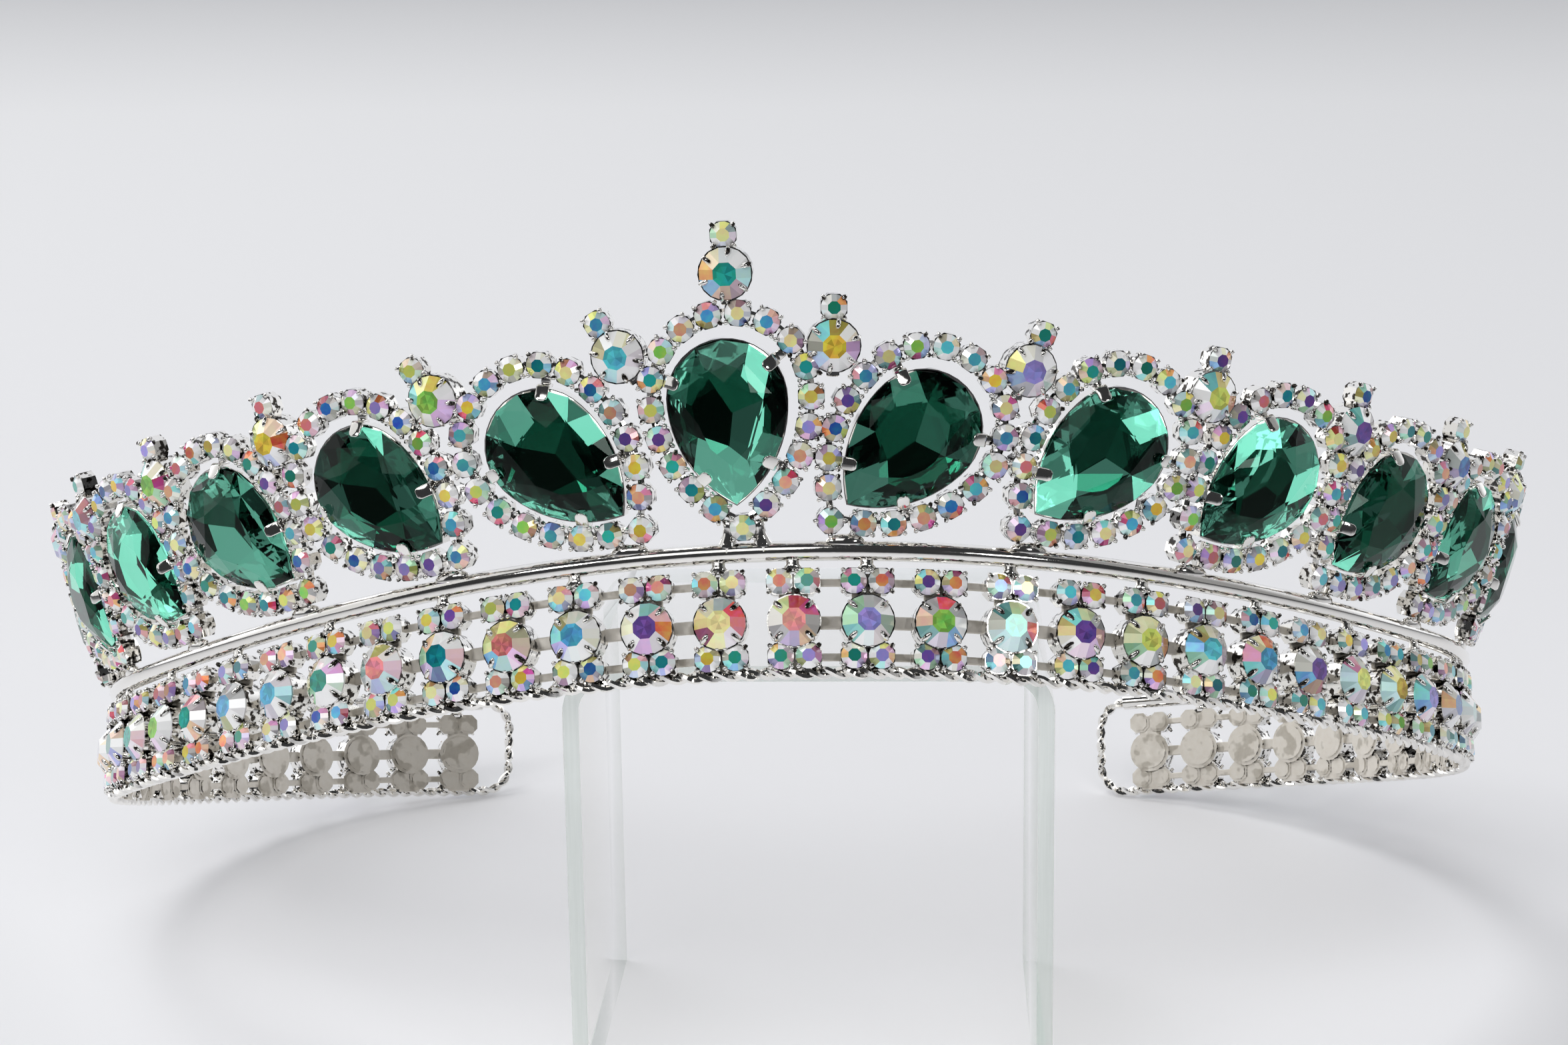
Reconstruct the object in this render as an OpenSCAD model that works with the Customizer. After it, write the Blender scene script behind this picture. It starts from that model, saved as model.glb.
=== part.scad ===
// Rhinestone tiara with thirteen pear stones, its front raised on a clear riser.
// Millimetres, +Z up, the floor at z = 0, the front of the tiara towards -Y.

/* [Ring] */
// Radius of the ring over its front half
front_r = 93.6; // [92:0.1:95]
// Radius of the ring towards its two ends
end_r = 57.8; // [56:0.1:59]
// Arc length from the middle to where the ring bends in more tightly
front_arc = 96.5; // [94:0.5:99]
// How far the sides hang below the plane of the front and the ends
bow = 5.4; // [5:0.1:5.6]
// How far the right side is bent up, and the left side down
twist = 2.4; // [2.2:0.1:2.6]
// Slope of the ring from its raised front down to its ends
ring_slope = 23.8; // [23.6:0.1:24]
// Height of the middle of the band above the floor at the front
ring_height = 58.5; // [58.5:0.05:60]

/* [Base band] */
// Columns of stones on each side of the middle
columns = 25; // [22:1:25]
// Distance from one column to the next
pitch = 8; // [7.8:0.1:8]
// Radius of a large stone cup
large_cup_r = 3.05; // [3:0.05:3.1]
// Radius of a large stone
large_stone_r = 2.75; // [2.6:0.05:2.75]
// Height of the upper pair of small cups above the large one
upper_row = 4.45; // [4.4:0.05:4.5]
// Depth of the lower pair of small cups below the large one
lower_row = 3.8; // [3.6:0.05:3.9]
// Width and height of a small cup
small_cup = 3; // [2.8:0.1:3]
// Height of the plain rail above the large cups
rail_row = 7.9; // [7.8:0.05:8]
// Radius of the plain rail
rail_r = 1.15; // [1.05:0.05:1.15]
// Depth of the twisted wire below the large cups
wire_row = 5.6; // [5.5:0.05:5.6]
// Radius of the twisted wire
wire_r = 0.75; // [0.7:0.05:0.75]
// How far the wire loops reach past the band's ends
loop_reach = 4; // [3.5:0.5:5]

/* [Pear stones] */
// Radius of a pear stone's round end
pear_r = 6.6; // [6.4:0.1:6.7]
// Distance from the centre of the round end to the tip
pear_tip = 11.7; // [11.3:0.1:11.8]
// Outward lean of the pear row from the band
flare = 19.4; // [18:0.1:21]
// Distance along the ring from the middle pear to the first one on each side
first_pitch = 17.5; // [17.3:0.1:18]
// Distance from one pear to the next on the right
right_pitch = 20.15; // [20:0.05:20.3]
// Distance from one pear to the next on the left, where the hand-set row is wider
left_pitch = 20.85; // [20.5:0.05:21]
// Shift of the whole pear row along the ring
motif_shift = -1.9; // [-2.2:0.1:-1.6]
// Height of the middle pear's centre above the rail
middle_height = 14.5; // [14.3:0.1:15]
// Height of the other pears' centres above the rail
side_height = 11.8; // [11.6:0.1:12]
// Sideways lean of the middle pear
middle_lean = -2; // [-4:0.5:0]
// Sideways lean of the other pears, round end away from the middle
side_lean = 43; // [41:0.5:45]
// Distance from a pear's edge to the middle of its halo
halo_offset = 2.2; // [2.15:0.05:2.25]
// Width of the halo
halo_width = 2.8; // [2.7:0.1:2.8]
// Lift of the halo along the pear, which sits low in it
halo_lift = 0.35; // [0.2:0.05:0.4]

/* [Finials] */
// Height of the junction finials' large cups above the rail
finial_height = 20.9; // [20.5:0.1:22]
// Height of the two finials beside the middle pear
near_finial_height = 22.6; // [22.2:0.1:23.2]
// Height of the middle finial's large cup above the rail
middle_finial_height = 30.7; // [30.5:0.1:31]
// Height of a finial's small cup above its large one
finial_step = 4.15; // [4:0.05:4.2]
// Where a junction finial stands between two pears, from the inner one
finial_share = 0.58; // [0.56:0.01:0.6]
// Sideways lean of the two finials left of the middle pear
left_finial_lean = -26; // [-30:1:-20]
// Sideways lean of the second finial on the right
right_finial_lean = 14; // [10:1:18]
// Shift of the middle finial to the right of its pear
middle_finial_shift = 0.45; // [0.3:0.05:0.5]

/* [Riser] */
// Width of the riser
riser_w = 55; // [53:0.5:55]
// Depth of the riser
riser_d = 45; // [40:0.5:52]
// Height of the riser
riser_h = 52.4; // [52:0.05:52.4]
// Thickness of the clear sheet
sheet = 1.9; // [1.5:0.1:2]
// Outer radius of the two bends
bend_r = 5.4; // [5:0.1:6]
// Sideways place of the riser under the tiara
riser_x = 5.2; // [0:0.1:5.2]
// Gap from the ring's front point back to the riser's front
riser_gap = 4.6; // [4.6:0.1:6]

/* [Hidden] */
$fn = 48;
// Place of the ring's front point, which centres the whole over the origin
front_x = 0.21;
front_y = -60.07;
band_half = columns * pitch;
// Overlap of two stretches of rail, wire or strip, and how much every second one is thinner on each side
link_lap = 0.35;
rod_step = 0.15;
strip_step = 0.1;
// Front and back of the metal, measured inwards from the ring
cup_front = -1.4;
cup_back = 1.8;
cup_floor = -0.2;
small_front = -1.3;
small_back = 1.3;
strip_front = 0.6;
strip_back = 1.15;
web_w = 3.2;
web_front = 0.5;
web_back = 1;
// Height of the link strips along the upper, large and lower cups
upper_strip = 1;
middle_strip = 1.4;
lower_strip = 1;
small_corner = 0.6;
// Solder between a column and the rail, under the halos and behind the finials
solder_w = 2.4;
solder_front = -0.5;
solder_back = 0.85;
foot_w = 1.8;
foot_front = -0.7;
foot_back = 0.6;
foot_low = 0.3;
foot_high = 3.6;
middle_feet = [-1.2, 2.4];
side_feet = [-7.2, -4.6];
post_w = 1.4;
post_front = 0.5;
post_back = 0.95;
post_drop = 6.5;
// Claws of a pear: their angles round it, their width, and their reach outward and forward
claw_angles = [35, 158, 248, -59];
claw_w = 1.3;
claw_near = 0.1;
claw_thick = 0.5;
claw_front = -1.4;
claw_back = 0.2;
bridge_reach = 1.3;
bridge_front = -0.2;
bridge_back = 0.8;
// Clearance of a stone in its seat, and the sizes of a stone
seat_gap = 0.1;
stone_girdle = 1.2;
stone_crown = 0.9;
stone_table_r = 1.5;
// Levels of a pear stone from its culet to its table: depth, and size beside the outline
pear_levels = [[0.7, 0.35], [-0.5, 0.985], [-0.9, 0.985], [-2.5, 0.6]];
pear_mid = (pear_tip - pear_r) / 2;
tray_wall = 0.3;
tray_gap = 0.08;
tray_floor = 0.8;
tray_back = 1.2;
tray_front = -0.6;
halo_back = 1;
halo_front = -1.3;
// Radius of a pear's curved flanks, and how far in from its middle they are centred
flank_r = (pear_r * pear_r + pear_tip * pear_tip) / (2 * pear_r);
flank_in = flank_r - pear_r;
// Steps round a faceted pear stone's round half, and down each flank
round_corners = 10;
flank_corners = 5;

// Heading of the ring at arc length a, in degrees
function heading(a) = (min(a, front_arc) / front_r + max(0, a - front_arc) / end_r) * 180 / PI;

// One arc's chord, from heading h0 to h1
function chord(r, h0, h1) = r * [sin(h1) - sin(h0), cos(h0) - cos(h1)];

// Plan point of the ring at arc length a from the middle
function plan(a) =
    let (h = heading(min(a, front_arc)))
    chord(front_r, 0, h) + chord(end_r, h, heading(a));

// Height of the ring's edge over its plane, and its slope
function rise(s) = twist * sin(180 * s / band_half) - bow * pow(sin(180 * s / band_half), 2);
function rise_slope(s) = atan((rise(s + 0.5) - rise(s - 0.5)));

// Arc length at which the pear motif n stands
function motif_s(n) =
    motif_shift + sign(n) * (n == 0 ? 0 : first_pitch + (abs(n) - 1) * (n > 0 ? right_pitch : left_pitch));
function finial_s(n) =
    n == 0 ? motif_s(0) + middle_finial_shift
           : motif_s(n - sign(n)) * (1 - finial_share) + motif_s(n) * finial_share;
function finial_v(n) = n == 0 ? middle_finial_height : abs(n) == 1 ? near_finial_height : finial_height;
function finial_lean(n) = n == -1 || n == -2 ? left_finial_lean : n == 2 ? right_finial_lean : 0;
function motif_v(n) = n == 0 ? middle_height : side_height;
function lean(n) = n == 0 ? middle_lean : sign(n) * side_lean;

// Distance from the centre of a pear's round end to its edge, at an angle round it
function pear_reach(a) =
    a > 0 && a < 180 ? pear_r : let (m = flank_in * abs(cos(a))) sqrt(m * m + pear_tip * pear_tip) - m;

// Direction square to a pear's edge, at an angle round it
function pear_normal(a) =
    a > 0 && a < 180 ? a
    : let (p = pear_reach(a) * [cos(a), sin(a)]) atan2(p[1], p[0] + sign(cos(a)) * flank_in);

// Outline of a pear stone grown by a margin, the centre of its round end at the origin
module drop(margin) {
    half_w = pear_r + margin;
    deep = pear_tip + 2 * margin + 1;
    intersection() {
        circle(r = half_w);
        translate([-half_w, 0])
            square([2 * half_w, half_w]);
    }
    intersection() {
        translate([flank_in, 0])
            circle(r = flank_r + margin);
        translate([-flank_in, 0])
            circle(r = flank_r + margin);
        translate([-half_w, -deep])
            square([2 * half_w, deep]);
    }
}

// Places a child in the ring's own frame: x along the ring, y inwards, z up
module at_ring(s) {
    p = plan(abs(s));
    translate([sign(s) * p[0], p[1], rise(s)])
        rotate([0, -rise_slope(s), sign(s) * heading(abs(s))])
            children();
}

// Places the ring in the room, front raised and ends on the floor
module in_room() {
    translate([front_x, front_y, ring_height])
        rotate([-ring_slope, 0, 0])
            children();
}

// Places a child on the flared row, height v above the rail, at arc length s
module on_row(s, v) {
    at_ring(s)
        translate([0, 0, rail_row])
            rotate([flare, 0, 0])
                translate([0, 0, v])
                    children();
}

// Places a child at the large cup of finial n
module at_finial(n) {
    on_row(finial_s(n), finial_v(n))
        rotate([0, finial_lean(n), 0])
            children();
}

// Turns a flat outline so that it faces outwards, from depth back to depth front
module facing(back, front) {
    translate([0, back, 0])
        rotate([90, 0, 0])
            linear_extrude(back - front)
                children();
}

module rod(r, length) {
    rotate([0, 90, 0])
        cylinder(r = r, h = length, center = true);
}

// Solid barrel of a large cup, and the seat cut into it and into all that crosses it
module cup_barrel() {
    translate([0, cup_back, 0])
        rotate([90, 0, 0])
            cylinder(r = large_cup_r, h = cup_back - cup_front);
}

module cup_seat() {
    translate([0, cup_floor, 0])
        rotate([90, 0, 0])
            cylinder(r = large_stone_r + seat_gap, h = cup_floor - cup_front + 2);
}

// Block of one or two small cups, its corners cut
module small_cups(count) {
    half_w = count * small_cup / 2;
    half_h = small_cup / 2;
    cut = small_corner;
    facing(small_back, small_front)
        polygon([[-half_w, cut - half_h], [cut - half_w, -half_h],
                 [half_w - cut, -half_h], [half_w, cut - half_h],
                 [half_w, half_h - cut], [half_w - cut, half_h],
                 [cut - half_w, half_h], [-half_w, half_h - cut]]);
}

// One column of the band with its stretch of rail and wire, its link strips running from left to right;
// the stretches are shifted by their height on a column that leans with the slope of the band
module band_cell(soldered, slope, left, right) {
    thinner = soldered ? 0 : rod_step;
    inset = soldered ? 0 : strip_step;
    strips = [[upper_row, upper_strip], [0, middle_strip], [-lower_row, lower_strip]];
    web_top = upper_row + upper_strip;
    solder_low = upper_row + small_cup / 4;
    cup_barrel();
    translate([0, 0, upper_row])
        small_cups(2);
    translate([0, 0, -lower_row])
        small_cups(2);
    translate([-web_w / 2, web_front, -wire_row])
        cube([web_w, web_back - web_front, wire_row + web_top]);
    for (strip = strips)
        translate([left + strip[0] * tan(slope), strip_front + inset, strip[0] - strip[1] / 2 + inset])
            cube([right - left, strip_back - strip_front - 2 * inset, strip[1] - 2 * inset]);
    translate([rail_row * tan(slope), 0, rail_row])
        rod(rail_r - thinner, pitch + 2 * link_lap);
    translate([-wire_row * tan(slope), 0, -wire_row])
        rod(wire_r - thinner, pitch + 2 * link_lap);
    if (soldered)
        translate([-solder_w / 2, solder_front, solder_low])
            cube([solder_w, solder_back - solder_front, rail_row - solder_low]);
}

// Wire loop that closes the band's end from the rail to the wire
module end_loop() {
    middle = rail_row - loop_reach;
    low = loop_reach - wire_row;
    loop_r = wire_r - 2 * rod_step;
    for (side = [0, 1])
        translate([-link_lap, 0, side == 0 ? low : middle])
            rotate([90, 0, 0])
                rotate([0, 0, side == 0 ? -90 : 0])
                    rotate_extrude(angle = 90)
                        translate([loop_reach, 0])
                            circle(r = loop_r);
    translate([loop_reach - link_lap, 0, low])
        cylinder(r = loop_r, h = middle - low);
}

module halo() {
    translate([0, 0, pear_mid + halo_lift])
        facing(halo_back, halo_front)
            difference() {
                drop(halo_offset + halo_width / 2);
                drop(halo_offset - halo_width / 2);
            }
}

// Shallow tray that a pear stone sits in
module tray() {
    translate([0, 0, pear_mid])
        difference() {
            facing(tray_back, tray_front)
                drop(tray_gap + tray_wall);
            facing(tray_floor, tray_front - 1)
                drop(tray_gap);
        }
}

// Solder bridge and claw at an angle round the pear
module claw(angle) {
    reach = pear_reach(angle);
    translate([reach * cos(angle), 0, pear_mid + reach * sin(angle)])
        rotate([0, -pear_normal(angle), 0]) {
            translate([claw_near, bridge_front, -claw_w / 2])
                cube([bridge_reach - claw_near, bridge_back - bridge_front, claw_w]);
            translate([claw_near, claw_front, -claw_w / 2])
                cube([claw_thick, claw_back - claw_front, claw_w]);
        }
}

// Halo, tray, claws and solder feet of the pear motif n
module motif(n) {
    on_row(motif_s(n), motif_v(n))
        rotate([0, lean(n), 0]) {
            halo();
            tray();
            for (a = claw_angles)
                claw(a);
        }
    feet = n == 0 ? middle_feet : sign(n) * side_feet;
    for (x = feet)
        on_row(motif_s(n), 0)
            translate([x - foot_w / 2, foot_front, foot_low])
                cube([foot_w, foot_back - foot_front, foot_high - foot_low]);
}

module finial(n) {
    at_finial(n) {
        cup_barrel();
        translate([0, 0, finial_step])
            small_cups(1);
        translate([-post_w / 2, post_front, -post_drop])
            cube([post_w, post_back - post_front, post_drop]);
    }
}

module round_stone() {
    seat = cup_floor - seat_gap;
    translate([0, seat, 0])
        rotate([90, 0, 0])
            cylinder(r = large_stone_r, h = stone_girdle);
    translate([0, seat - stone_girdle, 0])
        rotate([90, 0, 0])
            cylinder(r1 = large_stone_r, r2 = stone_table_r, h = stone_crown);
}

// Corners of a pear stone's outline, anticlockwise from the right end of its round half
function pear_outline() =
    let (turn = atan(pear_tip / flank_in) / flank_corners)
    concat([for (i = [0 : round_corners])
                let (a = i * 180 / round_corners)
                pear_r * [cos(a), sin(a)]],
           [for (i = [1 : flank_corners])
                let (a = i * turn)
                [flank_in - flank_r * cos(a), -flank_r * sin(a)]],
           [for (i = [1 : flank_corners - 1])
                let (a = (flank_corners - i) * turn)
                [flank_r * cos(a) - flank_in, -flank_r * sin(a)]]);

// Pear stone: rings of the outline from the culet to the table
module pear_body() {
    outline = pear_outline();
    count = len(outline);
    levels = len(pear_levels);
    centre = [0, -pear_mid];
    points = [for (level = pear_levels, p = outline)
              let (q = centre + (p - centre) * level[1])
              [q[0], level[0], q[1] + pear_mid]];
    sides = [for (k = [0 : levels - 2], i = [0 : count - 1])
             let (j = (i + 1) % count)
             [k * count + i, k * count + j, (k + 1) * count + j, (k + 1) * count + i]];
    polyhedron(points, concat(sides, [[for (i = [count - 1 : -1 : 0]) i]],
                              [[for (i = [0 : count - 1]) (levels - 1) * count + i]]));
}

module riser() {
    color("aliceblue", 0.4)
        translate([front_x + riser_x, front_y + riser_gap, 0]) {
            for (side = [-1, 1]) {
                translate([side * (riser_w - sheet) / 2 - sheet / 2, 0, 0])
                    cube([sheet, riser_d, riser_h - bend_r]);
                translate([side * (riser_w / 2 - bend_r), riser_d, riser_h - bend_r])
                    rotate([90, 0, 0])
                        rotate([0, 0, side > 0 ? 0 : 90])
                            rotate_extrude(angle = 90)
                                translate([bend_r - sheet, 0])
                                    square([sheet, riser_d]);
            }
            translate([bend_r - riser_w / 2, 0, riser_h - sheet])
                cube([riser_w - 2 * bend_r, riser_d, sheet]);
        }
}

module tiara_frame() {
    reach = pitch / 2 + link_lap;
    color("silver")
        in_room() {
            for (k = [-columns : columns - 1])
                let (s = (k + 0.5) * pitch)
                    at_ring(s)
                        difference() {
                            band_cell((k + columns) % 2 == 0, rise_slope(s), k == 0 ? 0 : -reach,
                                      k == -1 ? 0 : reach);
                            cup_seat();
                        }
            for (side = [-1, 1])
                at_ring(side * band_half)
                    rotate([0, rise_slope(side * band_half), 0])
                        mirror([side < 0 ? 1 : 0, 0, 0])
                            end_loop();
            difference() {
                for (n = [-6 : 6]) {
                    motif(n);
                    finial(n);
                }
                for (n = [-6 : 6])
                    at_finial(n)
                        cup_seat();
            }
        }
}

module band_stones(first, last) {
    color("lavender")
        in_room()
            for (k = [first : last])
                at_ring((k + 0.5) * pitch)
                    round_stone();
}

module band_stones_left() band_stones(-columns, -10);
module band_stones_front() band_stones(-9, 8);
module band_stones_right() band_stones(9, columns - 1);

module pear_stone(n) {
    color("darkgreen")
        in_room()
            on_row(motif_s(n), motif_v(n))
                rotate([0, lean(n), 0])
                    pear_body();
}

module finial_stone(n) {
    color("lavender")
        in_room()
            at_finial(n)
                round_stone();
}

riser();
tiara_frame();
band_stones_left();
band_stones_front();
band_stones_right();
pear_stone(-6);  // pear_stone_l6
pear_stone(-5);  // pear_stone_l5
pear_stone(-4);  // pear_stone_l4
pear_stone(-3);  // pear_stone_l3
pear_stone(-2);  // pear_stone_l2
pear_stone(-1);  // pear_stone_l1
pear_stone(0);  // pear_stone_m0
pear_stone(1);  // pear_stone_r1
pear_stone(2);  // pear_stone_r2
pear_stone(3);  // pear_stone_r3
pear_stone(4);  // pear_stone_r4
pear_stone(5);  // pear_stone_r5
pear_stone(6);  // pear_stone_r6
finial_stone(-6);  // finial_stone_l6
finial_stone(-5);  // finial_stone_l5
finial_stone(-4);  // finial_stone_l4
finial_stone(-3);  // finial_stone_l3
finial_stone(-2);  // finial_stone_l2
finial_stone(-1);  // finial_stone_l1
finial_stone(0);  // finial_stone_m0
finial_stone(1);  // finial_stone_r1
finial_stone(2);  // finial_stone_r2
finial_stone(3);  // finial_stone_r3
finial_stone(4);  // finial_stone_r4
finial_stone(5);  // finial_stone_r5
finial_stone(6);  // finial_stone_r6
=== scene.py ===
"""Looks of a rhinestone tiara on a clear display riser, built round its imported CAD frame.

What repeats is modelled in millimetres at the bench, in its own small frame: x along the ring of the
tiara, y inwards and z up. Its copies are then placed along the ring, in metres. The rail and the wires
are drawn along the ring in metres, and the riser is bent at full size and then scaled to metres.
"""

import logging
import math
import random
from collections.abc import Callable, Iterator, Sequence
from contextlib import contextmanager
from dataclasses import dataclass, field
from enum import Enum
from functools import partial

import bmesh
import bpy
from bpy.types import ID, Material, Mesh, Node, NodeSocket, NodeTree, Object
from mathutils import Matrix, Vector


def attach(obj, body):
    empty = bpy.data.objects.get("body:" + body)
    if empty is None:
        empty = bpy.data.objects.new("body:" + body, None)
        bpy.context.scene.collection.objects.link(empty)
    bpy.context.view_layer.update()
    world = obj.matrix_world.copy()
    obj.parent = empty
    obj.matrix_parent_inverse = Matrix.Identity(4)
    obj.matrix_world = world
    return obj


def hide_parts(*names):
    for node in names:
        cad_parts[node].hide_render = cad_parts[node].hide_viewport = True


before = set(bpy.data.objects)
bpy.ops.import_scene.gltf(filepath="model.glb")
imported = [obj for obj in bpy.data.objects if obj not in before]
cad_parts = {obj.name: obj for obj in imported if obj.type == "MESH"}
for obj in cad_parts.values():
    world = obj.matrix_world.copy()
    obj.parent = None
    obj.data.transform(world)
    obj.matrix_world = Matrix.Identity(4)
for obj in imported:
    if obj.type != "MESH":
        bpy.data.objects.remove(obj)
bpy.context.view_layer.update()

log = logging.getLogger("tiara")
MM = 0.001
SIDES = range(-6, 7)
GLASS_IOR = 1.56
ACRYLIC_IOR = 1.49


class Slot(str, Enum):
    """Material slots of the record."""

    SILVER = "silver_plate"
    GREEN = "green_glass"
    CRYSTAL = "crystal"
    ACRYLIC = "clear_acrylic"


def linear(code: str, alpha: float = 1.0) -> tuple[float, float, float, float]:
    """Turns an sRGB hex colour to linear light.

    Args:
        code: The colour as "#rrggbb".
        alpha: The fourth value.

    Returns:
        Red, green, blue and alpha.
    """
    def one(value: float) -> float:
        """Turns one channel to linear light."""
        return value / 12.92 if value <= 0.04045 else ((value + 0.055) / 1.055) ** 2.4

    r, g, b = (one(int(code[i:i + 2], 16) / 255) for i in (1, 3, 5))
    return r, g, b, alpha


def add_node(tree: NodeTree, kind: str, inputs: dict | None = None,
             **settings: object) -> Node:
    """Adds one shader node with its settings and links.

    Args:
        tree: The node tree it goes into.
        kind: The node's type name, without the part that all shader nodes share.
        inputs: Values, sockets or nodes, each node by its first output, under the input's name or index.
        settings: Attributes of the node.

    Returns:
        The new node.
    """
    node = tree.nodes.new("ShaderNode" + kind)
    for name, value in settings.items():
        setattr(node, name, value)
    for socket, value in (inputs or {}).items():
        if isinstance(value, Node):
            value = value.outputs[0]
        if isinstance(value, NodeSocket):
            tree.links.new(value, node.inputs[socket])
        else:
            node.inputs[socket].default_value = value
    return node


# The node-adding function, bound to one material's tree
Adder = Callable[..., Node]


class Finish:
    """A finish that makes its material the first time it is asked for."""

    name = "finish"
    made: dict[str, Material] = {}

    def material(self) -> Material:
        """Makes the finish's material, unless it is made already.

        Returns:
            The material.
        """
        if self.name not in Finish.made:
            made = bpy.data.materials.new(self.name)
            made.use_nodes = True
            made.node_tree.nodes.clear()
            add = partial(add_node, made.node_tree)
            shader = self.shade(add, add("TexCoord").outputs["Object"])
            add("OutputMaterial", {"Surface": shader})
            Finish.made[self.name] = made
        return Finish.made[self.name]

    def shade(self, add: Adder, place: NodeSocket) -> Node:
        """Builds the finish's nodes.

        Args:
            add: Adds a node to the material.
            place: The object's own coordinates.

        Returns:
            The shader.
        """
        raise NotImplementedError


@dataclass(frozen=True)
class SilverPlate(Finish):
    """Bright silver plate over cast and stamped brass: a mirror with the slight ripple of thin plating."""

    name: str = "bright_silver_plate_on_brass"
    colour: str = "#f4f2ee"
    roughness: float = 0.07
    ripple_mm: float = 0.9
    ripple: float = 0.18
    ripple_depth_mm: float = 0.05

    def shade(self, add: Adder, place: NodeSocket) -> Node:
        """Builds the plate: a warm white metal, gloss and surface uneven at the scale of the casting.

        Args:
            add: Adds a node to the material.
            place: The object's own coordinates.

        Returns:
            The shader.
        """
        ripple = add("TexNoise", {"Vector": place, "Scale": 1 / (self.ripple_mm * MM), "Detail": 2.0})
        bump = add("Bump", {"Strength": self.ripple, "Distance": self.ripple_depth_mm * MM, "Height": ripple})
        gloss = add("MapRange", {"Value": ripple, "To Min": self.roughness * 0.6,
                                 "To Max": self.roughness * 1.6})
        return add("BsdfPrincipled", {"Base Color": self.tone(add, place), "Metallic": 1.0,
                                      "Roughness": gloss, "Normal": bump})

    def tone(self, add: Adder, place: NodeSocket) -> tuple | NodeSocket:
        """Returns the plate's colour: clean and even here."""
        return linear(self.colour)


@dataclass(frozen=True)
class StampedCup(SilverPlate):
    """Silver plate on small stamped cups: bright edges, and painted dark reflections in patches of noise."""

    name: str = "silver_plate_on_stamped_cups"
    # Painted dark reflection: a dark colour put into the plate in patches of noise, for the dark room that
    # the silver would mirror.
    painted_dark_reflection: str = "#3a3632"
    painted_dark_reflection_mm: float = 0.75

    def tone(self, add: Adder, place: NodeSocket) -> tuple | NodeSocket:
        """Breaks the plate's colour by patches of painted dark reflection.

        Args:
            add: Adds a node to the material.
            place: The object's own coordinates.

        Returns:
            The colour.
        """
        dark_reflection_noise = add("TexNoise", {"Vector": place, "Scale": 1 / (self.painted_dark_reflection_mm * MM)})
        share = add("MapRange", {"Value": dark_reflection_noise, "From Min": 0.53, "From Max": 0.6})
        return add("Mix", {"Factor": share, "A": linear(self.colour), "B": linear(self.painted_dark_reflection)},
                   data_type="RGBA").outputs[2]


@dataclass(frozen=True)
class StampedBack(StampedCup):
    """Back of the stampings, never buffed: a paler, satin plate that blurs what it mirrors."""

    name: str = "unbuffed_silver_plate_on_cup_backs"
    colour: str = "#ece7de"
    roughness: float = 0.55
    ripple: float = 0.03
    # Painted dark reflection, faint here: patches a little darker than the back's own colour.
    painted_dark_reflection: str = "#cfc9be"
    painted_dark_reflection_mm: float = 2.5


@dataclass(frozen=True)
class AuroraCrystal(Finish):
    """Machine-cut glass, foiled behind, vacuum-coated in front: each facet shows its own colour, painted into
    it as a reflection.
    """

    name: str = "machine_cut_crystal_with_aurora_coating"
    metallic: float = 0.2
    roughness: float = 0.12
    coat_roughness: float = 0.02
    film_mm: float = 1.1

    def shade(self, add: Adder, place: NodeSocket) -> Node:
        """Builds the crystal from each facet's painted reflection colour, shifted by the coating's drifting
        thickness.

        Args:
            add: Adds a node to the material.
            place: The object's own coordinates.

        Returns:
            The shader.
        """
        glint = add("Attribute", attribute_name="glint")
        film = add("TexNoise", {"Vector": place, "Scale": 1 / (self.film_mm * MM)})
        drift = add("MapRange", {"Value": film, "From Min": 0.3, "From Max": 0.7,
                                 "To Min": 0.47, "To Max": 0.53})
        tint = add("HueSaturation", {"Hue": drift, "Color": glint})
        return add("BsdfPrincipled", {"Base Color": tint, "Metallic": self.metallic,
                                      "Roughness": self.roughness, "Coat Weight": 1.0,
                                      "Coat Roughness": self.coat_roughness, "IOR": GLASS_IOR})


@dataclass(frozen=True)
class EmeraldGlass(Finish):
    """Emerald-green pressed and polished glass: clear and deep, almost black where no foil lights it."""

    name: str = "polished_emerald_green_glass"
    colour: str = "#144b39"
    deep: str = "#0d4631"
    sheen: float = 0.08
    sheen_tint: str = "#8a9a92"
    cloud_mm: float = 6.0

    def shade(self, add: Adder, place: NodeSocket) -> Node:
        """Builds the glass: its green gathers unevenly in the pressing, and its crown hardly shines.

        Args:
            add: Adds a node to the material.
            place: The object's own coordinates.

        Returns:
            The shader.
        """
        cloud = add("TexNoise", {"Vector": place, "Scale": 1 / (self.cloud_mm * MM)})
        green = add("Mix", {"Factor": cloud, "A": linear(self.colour), "B": linear(self.deep)},
                    data_type="RGBA")
        return add("BsdfPrincipled", {"Base Color": green.outputs[2], "Roughness": 0.0, "IOR": GLASS_IOR,
                                      "Transmission Weight": 1.0, "Specular IOR Level": self.sheen,
                                      "Specular Tint": linear(self.sheen_tint)})


@dataclass(frozen=True)
class MirrorFoil(Finish):
    """Silvered back of a pressed stone: a mirror whose facets get painted light and shade, some brighter than
    others, and a few a painted glow.
    """

    name: str = "silvered_foil_behind_green_glass"
    roughness: float = 0.04
    # Strength of the painted glow, an emission on a few foil facets.
    painted_glow: float = 2.0

    def shade(self, add: Adder, place: NodeSocket) -> Node:
        """Builds the foil from each facet's painted brightness, and the painted glow that a few facets give
        off as emission.

        Args:
            add: Adds a node to the material.
            place: The object's own coordinates, not used here.

        Returns:
            The shader.
        """
        return add("BsdfPrincipled", {"Base Color": add("Attribute", attribute_name="glint"),
                                      "Metallic": 1.0, "Roughness": self.roughness,
                                      # Painted glow: emission on the few facets that foil() picks.
                                      "Emission Color": add("Attribute", attribute_name="painted_glow"),
                                      "Emission Strength": self.painted_glow})


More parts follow.
